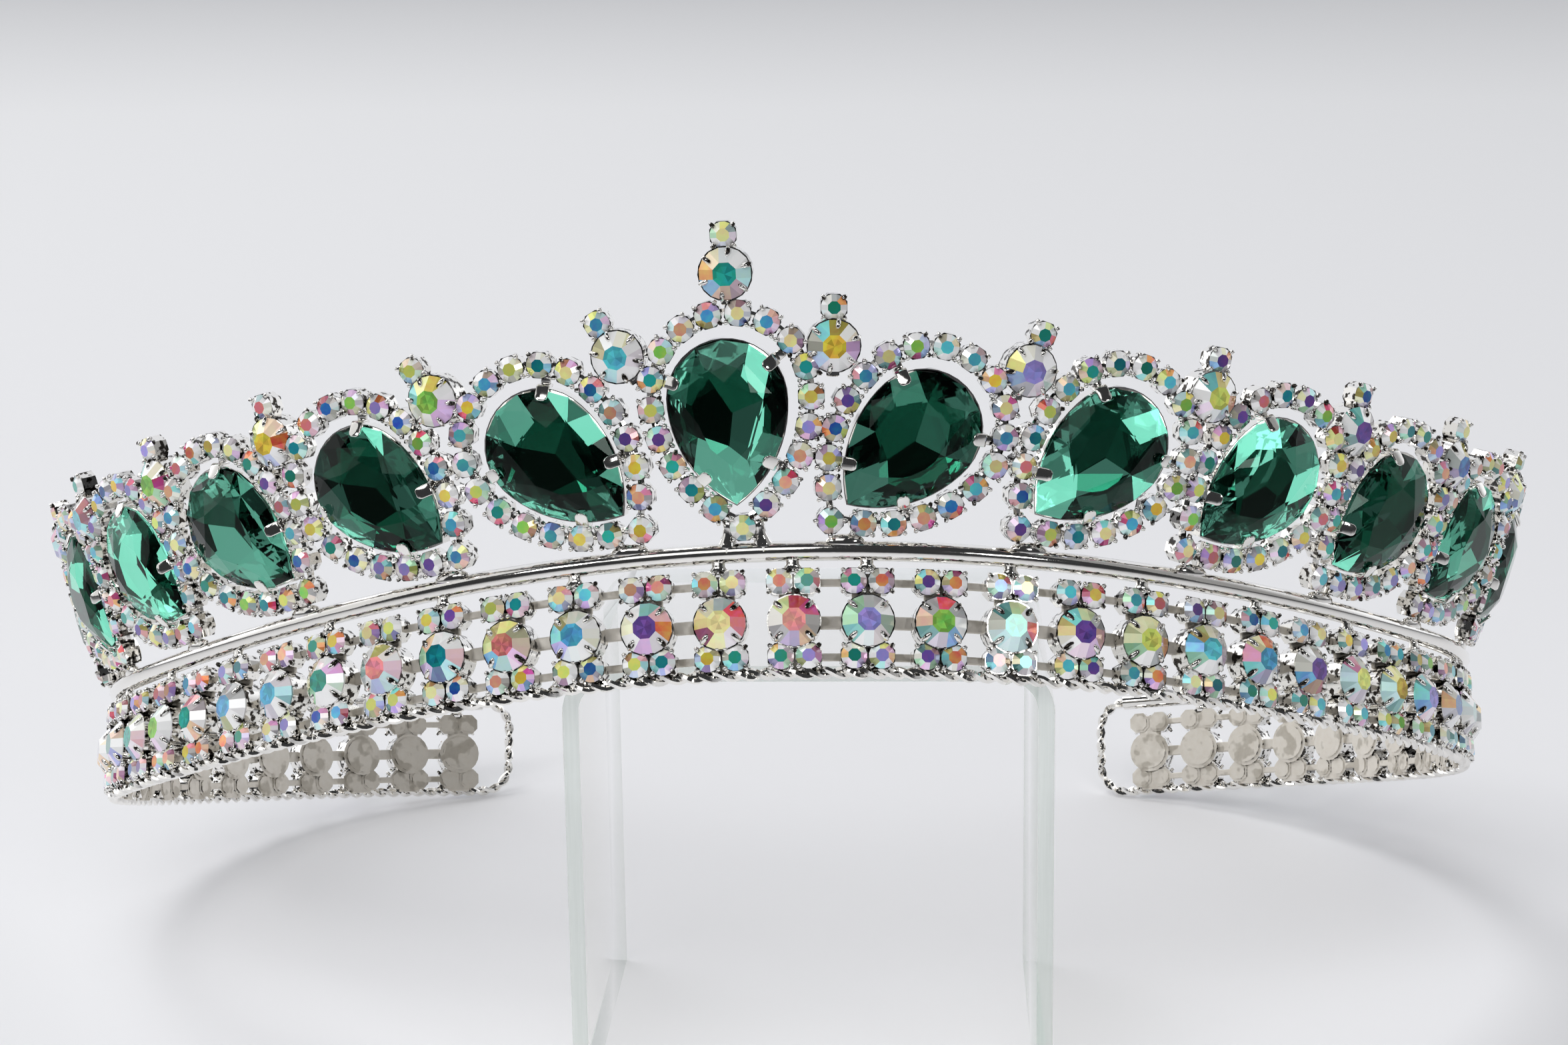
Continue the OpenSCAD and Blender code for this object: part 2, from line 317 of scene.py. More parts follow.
@dataclass(frozen=True)
class ClearAcrylic(Finish):
    """Heat-bent cast acrylic sheet: water-clear, so smooth that only slanting light shows its faces."""

    name: str = "heat_bent_clear_cast_acrylic"
    colour: str = "#fbfbfa"
    wave_mm: float = 25.0

    def shade(self, add: Adder, place: NodeSocket) -> Node:
        """Builds the acrylic, its gloss a little softer where the sheet was heated, none inside the sheet.

        Args:
            add: Adds a node to the material.
            place: The object's own coordinates.

        Returns:
            The shader.
        """
        wave = add("TexNoise", {"Vector": place, "Scale": 1 / (self.wave_mm * MM)})
        soft = add("MapRange", {"Value": wave, "To Min": 0.01, "To Max": 0.05})
        clear = add("BsdfTransparent", {"Color": linear(self.colour)})
        gloss = add("BsdfGlossy", {"Color": linear("#ffffff"), "Roughness": soft})
        rim = add("Fresnel", {"IOR": ACRYLIC_IOR})
        outer = add("Math", {0: 1.0, 1: add("NewGeometry").outputs["Backfacing"]}, operation="SUBTRACT")
        share = add("Math", {0: rim, 1: outer}, operation="MULTIPLY")
        return add("MixShader", {0: share, 1: clear, 2: gloss})


@dataclass(frozen=True)
class AcrylicEdge(Finish):
    """Flame-polished edge of the sheet, which gathers the light of the sheet and glows a pale grey-green."""

    name: str = "flame_polished_acrylic_edge"
    dark: str = "#d0d7d3"
    bright: str = "#eff3f1"
    clear: str = "#f4f9f6"
    roughness: float = 0.2
    streak_mm: float = 0.6
    streak_stretch: float = 0.04
    milk: float = 0.4

    def shade(self, add: Adder, place: NodeSocket) -> Node:
        """Builds the edge: part clear, part milky, with the fine streaks that the saw left.

        Args:
            add: Adds a node to the material.
            place: The object's own coordinates.

        Returns:
            The shader.
        """
        long = add("Mapping", {"Vector": place, "Scale": (1.0, 1.0, self.streak_stretch)})
        streak = add("TexNoise", {"Vector": long, "Scale": 1 / (self.streak_mm * MM)})
        shade = add("Mix", {"Factor": streak, "A": linear(self.dark), "B": linear(self.bright)},
                    data_type="RGBA")
        clear = add("BsdfTransparent", {"Color": linear(self.clear)})
        milky = add("BsdfPrincipled", {"Base Color": shade.outputs[2], "Roughness": self.roughness,
                                       "IOR": ACRYLIC_IOR})
        return add("MixShader", {0: self.milk, 1: clear, 2: milky})


@dataclass(frozen=True)
class StudioPaper(Finish):
    """Pale seamless studio paper, with painted light that grows further back and painted shade towards the
    viewer and the sides.
    """

    name: str = "pale_seamless_paper"
    # Painted shade: the dark colour where the paper runs out to the viewer and the sides; near to far, the
    # paper grows paler as painted light.
    dark: str = "#4a4a4c"
    near: str = "#e6e6e8"
    painted_lit_far: str = "#fcfcfd"
    roughness: float = 0.75
    grain_mm: float = 1.11

    def shade(self, add: Adder, place: NodeSocket) -> Node:
        """Builds the paper: matt, faintly grained, with painted shade where it runs out to the viewer and the
        sides, and painted light further back.

        Args:
            add: Adds a node to the material.
            place: The object's own coordinates.

        Returns:
            The shader.
        """
        parts = add("SeparateXYZ", {0: place})
        depth = parts.outputs["Y"]
        # Painted shade, darker towards the viewer and to the sides.
        front = add("MapRange", {"Value": depth, "From Min": -0.9, "From Max": -0.45})
        aside = add("Math", {0: parts}, operation="ABSOLUTE")
        spread = add("Math", {0: depth, 1: 0.6}, operation="MULTIPLY")
        wide = add("Math", {0: aside, 1: spread}, operation="SUBTRACT")
        sides = add("MapRange", {"Value": wide, "From Min": 0.62, "From Max": 0.1})
        painted_lit_share = add("Math", {0: front, 1: sides}, operation="MULTIPLY")
        # Painted light, paler further back.
        painted_light_gradient = add("MapRange", {"Value": depth, "From Min": 0.2, "From Max": 1.2})
        paper = add("Mix", {"Factor": painted_light_gradient, "A": linear(self.near), "B": linear(self.painted_lit_far)}, data_type="RGBA")
        tone = add("Mix", {"Factor": painted_lit_share, "A": linear(self.dark), "B": paper.outputs[2]}, data_type="RGBA")
        grain = add("TexNoise", {"Vector": place, "Scale": 1 / (self.grain_mm * MM)})
        bump = add("Bump", {"Strength": 0.03, "Distance": 0.1 * MM, "Height": grain})
        return add("BsdfPrincipled", {"Base Color": tone.outputs[2], "Roughness": self.roughness,
                                      "Normal": bump})


class Bench:
    """The modelling bench: each tool works on the piece in hand."""

    @staticmethod
    def take(*pieces: Object) -> None:
        """Puts all else down and takes these pieces in hand, the first one active.

        Args:
            pieces: The pieces.
        """
        bpy.ops.object.select_all(action="DESELECT")
        for piece in pieces:
            piece.select_set(True)
        bpy.context.view_layer.objects.active = pieces[0]

    @staticmethod
    def named(name: str) -> Object:
        """Names the new primitive and applies its place.

        Args:
            name: The piece's name.

        Returns:
            The piece.
        """
        piece = bpy.context.active_object
        piece.name = piece.data.name = name
        Bench.take(piece)
        bpy.ops.object.transform_apply(location=True, rotation=True, scale=True)
        return piece

    @staticmethod
    def block(name: str, low: tuple, high: tuple) -> Object:
        """Adds a cube stretched between two corners.

        Args:
            name: The piece's name.
            low: Its lowest corner in millimetres.
            high: Its highest corner.

        Returns:
            The new piece.
        """
        size = [h - l for l, h in zip(low, high)]
        middle = [(h + l) / 2 for l, h in zip(low, high)]
        bpy.ops.mesh.primitive_cube_add(size=1, location=middle, scale=size)
        return Bench.named(name)

    @staticmethod
    def barrel(name: str, sides: int, radius: float, front: float, back: float) -> Object:
        """Adds a cylinder along y.

        Args:
            name: The piece's name.
            sides: Faces round it.
            radius: Its radius.
            front: Its lower y.
            back: Its higher y.

        Returns:
            The new piece.
        """
        bpy.ops.mesh.primitive_cylinder_add(vertices=sides, radius=radius, depth=back - front,
                                            location=(0, (front + back) / 2, 0),
                                            rotation=(math.pi / 2, 0, 0))
        return Bench.named(name)

    @staticmethod
    def bead(name: str, place: tuple, radii: tuple, turn: tuple = (0, 0, 0), segments: int = 6,
             rings: int = 4) -> Object:
        """Adds a sphere stretched to three radii.

        Args:
            name: The piece's name.
            place: Its middle.
            radii: Its radius each way.
            turn: Its rotation in radians.
            segments: Faces round it.
            rings: Rows of faces.

        Returns:
            The new piece, shaded smooth.
        """
        bpy.ops.mesh.primitive_uv_sphere_add(segments=segments, ring_count=rings, radius=1,
                                             location=place, rotation=turn, scale=radii)
        piece = Bench.named(name)
        bpy.ops.object.shade_smooth()
        return piece

    @staticmethod
    @contextmanager
    def editing(piece: Object, kind: str = "FACE") -> Iterator[None]:
        """Opens the piece's mesh for editing with nothing selected.

        Args:
            piece: The piece.
            kind: What is selected there: VERT, EDGE or FACE.

        Yields:
            Nothing, while the mesh is open.
        """
        Bench.take(piece)
        bpy.ops.object.mode_set(mode="EDIT")
        bpy.ops.mesh.select_mode(type=kind)
        bpy.ops.mesh.select_all(action="DESELECT")
        yield
        bpy.ops.object.mode_set(mode="OBJECT")

    @staticmethod
    def pick_faces(piece: Object, test: Callable[[Vector, Vector], bool]) -> None:
        """Selects the faces whose middle and normal pass the test, and no others.

        Args:
            piece: The piece, in edit mode.
            test: Takes a face's middle and its normal.
        """
        shape = bmesh.from_edit_mesh(piece.data)
        for part in shape.faces:
            part.select_set(bool(test(part.calc_center_median(), part.normal)))
        bmesh.update_edit_mesh(piece.data)

    @staticmethod
    def pick_edges(piece: Object, test: Callable[[Vector, Vector], bool]) -> None:
        """Selects the edges whose two ends pass the test, and no others.

        Args:
            piece: The piece, in edit mode.
            test: Takes an edge's two ends.
        """
        bpy.ops.mesh.select_mode(type="EDGE")
        bpy.ops.mesh.select_all(action="DESELECT")
        shape = bmesh.from_edit_mesh(piece.data)
        for part in shape.edges:
            part.select_set(bool(test(part.verts[0].co, part.verts[1].co)))
        bmesh.update_edit_mesh(piece.data)

    @staticmethod
    def pick_all() -> None:
        """Selects all of the piece in edit mode."""
        bpy.ops.mesh.select_all(action="SELECT")

    @staticmethod
    def close() -> None:
        """Turns all faces of the piece in edit mode outwards."""
        Bench.pick_all()
        bpy.ops.mesh.normals_make_consistent(inside=False)

    @staticmethod
    def push(depth: float) -> None:
        """Extrudes the picked faces along y."""
        bpy.ops.mesh.extrude_region_move(TRANSFORM_OT_translate={"value": (0, depth, 0)})

    @staticmethod
    def hollow(cup: Object, wall: float, depth: float, shoulder: float, foot: float) -> None:
        """Sinks the cup's front inside its wall and raises its back into a foot.

        Args:
            cup: The cup, in edit mode.
            wall: Thickness of its wall.
            depth: How deep its front sinks.
            shoulder: How far the foot stands in from the cup's side.
            foot: How far it stands out.
        """
        for side, inset, height in ((-1, wall, depth), (1, shoulder, foot)):
            Bench.pick_faces(cup, lambda c, n: n.y * side > 0.9)
            bpy.ops.mesh.inset(thickness=inset)
            Bench.push(height)

    @staticmethod
    def lay(name: str, data: ID) -> Object:
        """Makes an object of the data and lays it in the scene.

        Args:
            name: Its name.
            data: Its mesh, lamp or camera.

        Returns:
            The object.
        """
        piece = bpy.data.objects.new(name, data)
        bpy.context.scene.collection.objects.link(piece)
        return piece

    @staticmethod
    def join(pieces: list[Object], name: str) -> Object:
        """Joins pieces into one mesh with this name.

        Args:
            pieces: The pieces, the first one's data kept.
            name: The joined piece's name.

        Returns:
            The joined piece.
        """
        Bench.take(*pieces)
        if len(pieces) > 1:
            bpy.ops.object.join()
        piece = bpy.context.active_object
        piece.name = piece.data.name = name
        return piece

    @staticmethod
    def finish(piece: Object, modifier: str, **settings: object) -> None:
        """Adds a modifier to the piece and applies it.

        Args:
            piece: The piece.
            modifier: The modifier's type.
            settings: Its settings.
        """
        Bench.take(piece)
        tool = piece.modifiers.new(modifier.lower(), modifier)
        for name, value in settings.items():
            setattr(tool, name, value)
        bpy.ops.object.modifier_apply(modifier=tool.name)

    @staticmethod
    def smooth(piece: Object, degrees: float) -> None:
        """Shades the piece smooth but for its edges sharper than an angle."""
        Bench.take(piece)
        bpy.ops.object.shade_smooth_by_angle(angle=math.radians(degrees))

    @staticmethod
    def bevel_edges(piece: Object, width: float, segments: int, degrees: float) -> None:
        """Rounds the piece's edges sharper than an angle.

        Args:
            piece: The piece.
            width: Width of the bevel.
            segments: Its segments.
            degrees: The angle.
        """
        Bench.finish(piece, "BEVEL", width=width, segments=segments, limit_method="ANGLE",
                     angle_limit=math.radians(degrees))

    @staticmethod
    def rod(name: str, points: list[Vector], radius: float, roundness: int,
            closed: bool = False) -> Object:
        """Draws a wire along points and makes it a mesh.

        Args:
            name: The piece's name.
            points: The middle of the wire.
            radius: Its radius, in the points' unit.
            roundness: The curve's bevel resolution.
            closed: Whether the wire closes on itself.

        Returns:
            The new piece, shaded smooth, with closed ends.
        """
        bpy.ops.curve.primitive_nurbs_path_add()
        piece = bpy.context.active_object
        curve = piece.data
        curve.splines.clear()
        line = curve.splines.new("POLY")
        line.points.add(len(points) - 1)
        for spot, point in zip(line.points, points):
            spot.co = (*point, 1)
        curve.bevel_depth = radius
        curve.bevel_resolution = roundness
        curve.use_fill_caps = not closed
        line.use_cyclic_u = closed
        Bench.take(piece)
        bpy.ops.object.convert(target="MESH")
        piece = bpy.context.active_object
        piece.name = piece.data.name = name
        with Bench.editing(piece):
            Bench.pick_all()
            bpy.ops.mesh.remove_doubles(threshold=radius * 0.01)
            Bench.close()
        Bench.smooth(piece, 50)
        return piece

    @staticmethod
    def copies(model: Object, places: list[Matrix], name: str,
               dress: Callable[[Mesh], None] | None = None) -> Object:
        """Copies a model to many places and joins the copies.

        Args:
            model: The piece that repeats, in millimetres.
            places: One matrix a copy.
            name: The name of the joined piece.
            dress: Called with each copy's mesh.

        Returns:
            The joined piece.
        """
        made = []
        for place in places:
            mesh = model.data.copy()
            mesh.transform(place)
            if dress:
                dress(mesh)
            made.append(Bench.lay(name, mesh))
        return Bench.join(made, name)

    @staticmethod
    def scrap(*models: Object) -> None:
        """Clears models away once their copies are made."""
        for model in models:
            bpy.data.objects.remove(model)


def hand_over(piece: Object, finishes: Sequence[Finish] = (),
              stands_for: Sequence[str] = ()) -> None:
    """Dresses a finished piece and gives it to the frame.

    Args:
        piece: The piece, in metres.
        finishes: Its finishes, none if it already has them.
        stands_for: CAD nodes that it replaces.
    """
    for one in finishes:
        piece.data.materials.append(one.material())
    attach(piece, "root")
    if stands_for:
        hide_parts(*stands_for)
    log.info("%s: %d faces", piece.name, len(piece.data.polygons))


@dataclass(frozen=True)
class Ring:
    """The line of the open ring, its front raised and its ends on the floor, in millimetres."""

    front_r: float = 93.6
    end_r: float = 57.8
    front_arc: float = 96.5
    bow: float = 5.4
    twist: float = 2.4
    slope: float = 23.8
    height: float = 58.5
    front: tuple[float, float] = (0.21, -60.07)
    columns: int = 25
    pitch: float = 8.0
    rail_row: float = 7.9
    wire_row: float = 5.6
    flare: float = 19.4
    motif_shift: float = -1.9
    first_pitch: float = 17.5
    right_pitch: float = 20.15
    left_pitch: float = 20.85
    finial_share: float = 0.58
    finial_shift: float = 0.45
    finial_step: float = 4.15
    middle_height: float = 14.5
    side_height: float = 11.8
    middle_lean: float = -2.0
    side_lean: float = 43.0

    @property
    def half(self) -> float:
        """Half the band's length."""
        return self.columns * self.pitch

    def heading(self, arc: float) -> float:
        """Heading of the ring in radians at an arc length from the middle."""
        return min(arc, self.front_arc) / self.front_r + max(0.0, arc - self.front_arc) / self.end_r

    def plan(self, arc: float) -> Vector:
        """Plan point of the ring at an arc length from the middle.

        Args:
            arc: The arc length.

        Returns:
            The point.
        """
        def chord(r: float, h0: float, h1: float) -> Vector:
            """Step along an arc of radius r from heading h0 to h1."""
            return Vector((r * (math.sin(h1) - math.sin(h0)), r * (math.cos(h0) - math.cos(h1))))

        bend = self.heading(min(arc, self.front_arc))
        return chord(self.front_r, 0.0, bend) + chord(self.end_r, bend, self.heading(arc))

    def rise(self, s: float) -> float:
        """Height of the ring's edge over its plane at arc length s."""
        wave = math.sin(math.pi * s / self.half)
        return self.twist * wave - self.bow * wave ** 2

    def tilt(self, s: float) -> float:
        """Slope of the ring's edge in radians at arc length s."""
        return math.atan(self.rise(s + 0.5) - self.rise(s - 0.5))

    def at(self, s: float, leaning: bool = True) -> Matrix:
        """Place of the ring's own frame at arc length s.

        Args:
            s: Arc length from the middle, to the right.
            leaning: Whether the frame leans with the edge's slope.

        Returns:
            The matrix from millimetres there to metres in the room.
        """
        side = -1 if s < 0 else 1
        point = self.plan(abs(s))
        room = (Matrix.Scale(MM, 4) @ Matrix.Translation((*self.front, self.height))
                @ Matrix.Rotation(-math.radians(self.slope), 4, "X"))
        turn = Matrix.Rotation(side * self.heading(abs(s)), 4, "Z")
        lean = Matrix.Rotation(-self.tilt(s), 4, "Y") if leaning else Matrix.Identity(4)
        return room @ Matrix.Translation((side * point.x, point.y, self.rise(s))) @ turn @ lean

    def row(self, s: float, v: float) -> Matrix:
        """Place on the flared row, v above the rail at arc length s."""
        return (self.at(s) @ Matrix.Translation((0, 0, self.rail_row))
                @ Matrix.Rotation(math.radians(self.flare), 4, "X") @ Matrix.Translation((0, 0, v)))

    def motif_s(self, n: int) -> float:
        """Arc length at which pear motif n stands.

        Args:
            n: The motif's number, negative to the left.

        Returns:
            The arc length.
        """
        if n == 0:
            return self.motif_shift
        reach = self.first_pitch + (abs(n) - 1) * (self.right_pitch if n > 0 else self.left_pitch)
        return self.motif_shift + math.copysign(reach, n)

    def motif(self, n: int) -> Matrix:
        """Place of pear motif n: its middle, leaning outwards from the middle of the tiara.

        Args:
            n: The motif's number.

        Returns:
            Its matrix.
        """
        lean = math.copysign(self.side_lean, n) if n else self.middle_lean
        place = self.row(self.motif_s(n), self.side_height if n else self.middle_height)
        return place @ Matrix.Rotation(math.radians(lean), 4, "Y")

    def finial_s(self, n: int) -> float:
        """Arc length of finial n, which stands between two motifs.

        Args:
            n: The finial's number.

        Returns:
            The arc length.
        """
        if n == 0:
            return self.motif_s(0) + self.finial_shift
        inner = n - int(math.copysign(1, n))
        return self.motif_s(inner) * (1 - self.finial_share) + self.motif_s(n) * self.finial_share

    def finial(self, n: int) -> Matrix:
        """Place of finial n.

        Args:
            n: The finial's number.

        Returns:
            Its matrix.
        """
        lean = {-1: -26, -2: -26, 2: 14}.get(n, 0)
        height = {0: 30.7, 1: 22.6}.get(abs(n), 20.9)
        return self.row(self.finial_s(n), height) @ Matrix.Rotation(math.radians(lean), 4, "Y")


def label(n: int) -> str:
    """Names motif n as the CAD nodes do: l6 to l1, m0, r1 to r6."""
    return f"{'m' if n == 0 else 'l' if n < 0 else 'r'}{abs(n)}"


@dataclass
class DropOutline:
    """Outline of a pear stone: half a round and two long flanks that meet in a tip."""

    radius: float = 6.6
    tip: float = 11.7
    mid: float = 2.55

    @property
    def flank_r(self) -> float:
        """Radius of the two flanks."""
        return (self.radius ** 2 + self.tip ** 2) / (2 * self.radius)

    def point(self, share: float, margin: float = 0.0) -> tuple[Vector, Vector]:
        """Point of the grown outline and its outward normal.

        Args:
            share: How far round it lies, 0 and 1 at the tip, anticlockwise as seen from the front.
            margin: How far outside the stone's edge the outline is.

        Returns:
            The point in x and z about the motif's middle, and the normal there.
        """
        inner = self.flank_r - self.radius
        big = self.flank_r + margin
        reach = math.acos(inner / big)
        flank, half = big * reach, math.pi * (self.radius + margin)
        along = (share % 1.0) * (2 * flank + half)
        if along < flank:
            a = reach - along / big
            normal = Vector((math.cos(a), -math.sin(a)))
            spot = Vector((-inner, 0)) + big * normal
        elif along < flank + half:
            a = (along - flank) / (self.radius + margin)
            normal = Vector((math.cos(a), math.sin(a)))
            spot = (self.radius + margin) * normal
        else:
            a = (along - flank - half) / big
            normal = Vector((-math.cos(a), -math.sin(a)))
            spot = Vector((inner, 0)) + big * normal
        return spot + Vector((0, self.mid)), normal

    def ring(self, count: int, phase: float, scale: float, margin: float = 0.0) -> list[Vector]:
        """Evenly spaced points of the outline, scaled about the motif's middle."""
        return [self.point((i + phase) / count, margin)[0] * scale for i in range(count)]


@dataclass
class StoneCutter:
    """Cuts round stones and pears, each as the hull of rings of corners."""

    seed: int = 7
    # Painted reflections of the aurora coating: the colours that each of the eight crown sectors throws back,
    # whitest in the top sector as painted highlights.
    painted_sector_reflections: tuple[tuple[str, ...], ...] = (
        ("#e8a8d8", "#d8c8f4", "#f0b8c0", "#a8d8e0", "#e06a7a", "#f4eef4"),
        ("#e87a4a", "#f0a060", "#d84a5a", "#f4d8c0", "#c8508a", "#e8e4c8"),
        ("#ffffff", "#fdf9d0", "#f2e070", "#d8f8f8", "#ffffff", "#e4f0a8"),
        ("#e4f088", "#f6ec8c", "#f4b878", "#b8e8c0", "#f8f8e8", "#78c8c0"),
        ("#98c8a0", "#a8e0c8", "#c8b878", "#b8507a", "#70b8b8", "#e8e8d8"),
        ("#80d4e4", "#9ae4e0", "#78c0f0", "#c8ecf4", "#88a8e8", "#e0e8a0"),
        ("#b8b4f4", "#90c4f8", "#c8a8f0", "#f0e8f8", "#e8b8e0", "#a8e8e8"),
        ("#c8a8f0", "#e8c0f0", "#f0c8a8", "#b0b8f8", "#f8d8e8", "#c0f0c8"),
    )
    # Painted reflections in the table, one colour a stone.
    painted_table_reflections: tuple[str, ...] = (
        "#14808a", "#2a6ab0", "#6a4a9a", "#e8c848", "#e08a5a", "#8ac858", "#d87a78", "#58c0d0",
        "#d8e070", "#9a90d8", "#e8a888", "#1e8a78", "#e0c860", "#4aa0c8", "#f4e8a0", "#2aa89a")
    # Painted highlights on the crystals: the share of white and the brightness that a crown sector may get.
    painted_highlight_whiteness: tuple[float, ...] = (0, 0, 0.15, 0.35, 0.8)
    light: tuple[float, ...] = (0.55, 0.9, 1.15, 1.5, 1.9)
    # Painted light and shade on the pears' foil: each facet's brightness, and the level of a painted glow
    # that a few facets get.
    foil_painted_light_and_shade: tuple[float, ...] = (1.0, 0.95, 0.8, 0.5, 0.25, 0.9)
    foil_painted_glow: tuple[float, ...] = (0, 0, 0, 0, 0, 0, 0, 0.04, 0.1, 0.25, 0.6, 1.4)
    # Painted highlights on the crystals: the brightness range of the table and of each crown facet.
    table_light: tuple[float, float] = (0.7, 1.4)
    crown_light: tuple[float, float] = (0.75, 1.15)
    # Half a sector and a hair, so that no facet's middle falls on a border
    sector_start: float = 0.51
    dice: random.Random = field(init=False)

    def __post_init__(self) -> None:
        """Seeds the choice of colours."""
        self.dice = random.Random(self.seed)

    def hull(self, name: str, rings: list[list[Vector]], depths: list[float]) -> Object:
        """Cuts a stone from rings of corners.

        Args:
            name: The piece's name.
            rings: Corners in x and z, one list a ring.
            depths: The y of each ring.

        Returns:
            The stone, its faces flat.
        """
        bpy.ops.mesh.primitive_circle_add(vertices=sum(len(r) for r in rings), radius=1)
        stone = Bench.named(name)
        corners = [(p.x, y, p.y) for ring, y in zip(rings, depths) for p in ring]
        for vertex, corner in zip(stone.data.vertices, corners):
            vertex.co = corner
        with Bench.editing(stone, "VERT"):
            Bench.pick_all()
            bpy.ops.mesh.delete(type="EDGE_FACE")
            Bench.pick_all()
            bpy.ops.mesh.convex_hull()
            Bench.pick_all()
            bpy.ops.mesh.dissolve_limited(angle_limit=math.radians(1.5))
            Bench.close()
        return stone

    @staticmethod
    def circle(count: int, radius: float, phase: float = 0.5) -> list[Vector]:
        """Corners of a regular ring."""
        return [radius * Vector((math.cos(a), math.sin(a)))
                for a in (2 * math.pi * (i + phase) / count for i in range(count))]

    def split_table(self, stone: Object, thickness: float) -> None:
        """Divides the table as the facets behind it do: an inner eight-cornered field in a border.

        Args:
            stone: The stone.
            thickness: Width of the border.
        """
        with Bench.editing(stone):
            front = min(v.co.y for v in stone.data.vertices)
            Bench.pick_faces(stone, lambda c, n: n.y < -0.99 and abs(c.y - front) < 0.01)
            bpy.ops.mesh.inset(thickness=thickness, depth=0)
            bpy.ops.mesh.poke()

    def mark(self, stone: Object) -> None:
        """Notes on each facet whether it is the table and in which of the crown's sectors it lies.

        Args:
            stone: The stone.
        """
        mesh = stone.data
        for name, kind in (("table", "BOOLEAN"), ("sector", "INT"), ("glint", "FLOAT_COLOR"),
                           ("painted_glow", "FLOAT_COLOR")):
            mesh.attributes.new(name, kind, "FACE")
        notes = mesh.attributes
        for face, table, sector in zip(mesh.polygons, notes["table"].data, notes["sector"].data):
            table.value = face.normal.y < -0.99
            turn = math.atan2(face.center.z, face.center.x) / (2 * math.pi)
            sector.value = math.floor(turn * len(self.painted_sector_reflections) + self.sector_start) % len(self.painted_sector_reflections)

    def colour(self, mesh: Mesh) -> None:
        """Gives each facet of one stone its painted reflection: the colour that its coating throws back
        there, brightened or whitened at random as painted highlights.

        Args:
            mesh: The copy's mesh.
        """
        table = linear(self.dice.choice(self.painted_table_reflections))
        white = Vector((1.0, 1.0, 1.0))
        crown = []
        for sector in range(len(self.painted_sector_reflections)):
            near = (sector + self.dice.choice((-1, 0, 0, 1))) % len(self.painted_sector_reflections)
            hue = Vector(linear(self.dice.choice(self.painted_sector_reflections[near]))[:3])
            crown.append(hue.lerp(white, self.dice.choice(self.painted_highlight_whiteness)) * self.dice.choice(self.light))
        notes = mesh.attributes
        for flat, sector, glint in zip(notes["table"].data, notes["sector"].data, notes["glint"].data):
            if flat.value:
                shade, light = table, self.dice.uniform(*self.table_light)
            else:
                shade, light = crown[sector.value], self.dice.uniform(*self.crown_light)
            glint.color = (*(min(1.0, c * light) for c in shade[:3]), 1)

    def round_stone(self, name: str, radius: float, table: float, seat: float, girdle: float,
                    crown: float, border: float = 0.0) -> Object:
        """Cuts a round stone with eight crown facets.

        Args:
            name: The piece's name.
            radius: Its radius to the girdle's corners.
            table: The radius of its table.
            seat: The y of its flat back.
            girdle: The y at which its crown starts.
            crown: The y of its table.
            border: Width of the border in its table, or 0 for a plain one.

        Returns:
            The marked stone.
        """
        edge = self.circle(16, radius)
        rings = [self.circle(8, radius * 0.8), edge, edge, self.circle(8, table)]
        stone = self.hull(name, rings, [seat, seat - 0.4, girdle, crown])
        if border:
            self.split_table(stone, border)
        self.mark(stone)
        return stone

    def foil(self, mesh: Mesh) -> None:
        """Gives each facet of one pear's foil a painted brightness, and a few of them a painted glow.

        Args:
            mesh: The copy's mesh.
        """
        notes = mesh.attributes
        for face, glint, painted_glow in zip(mesh.polygons, notes["glint"].data, notes["painted_glow"].data):
            if face.material_index:
                share, painted_glow_level = self.dice.choice(self.foil_painted_light_and_shade), self.dice.choice(self.foil_painted_glow)
                glint.color, painted_glow.color = (share, share, share, 1), (painted_glow_level, painted_glow_level, painted_glow_level, 1)


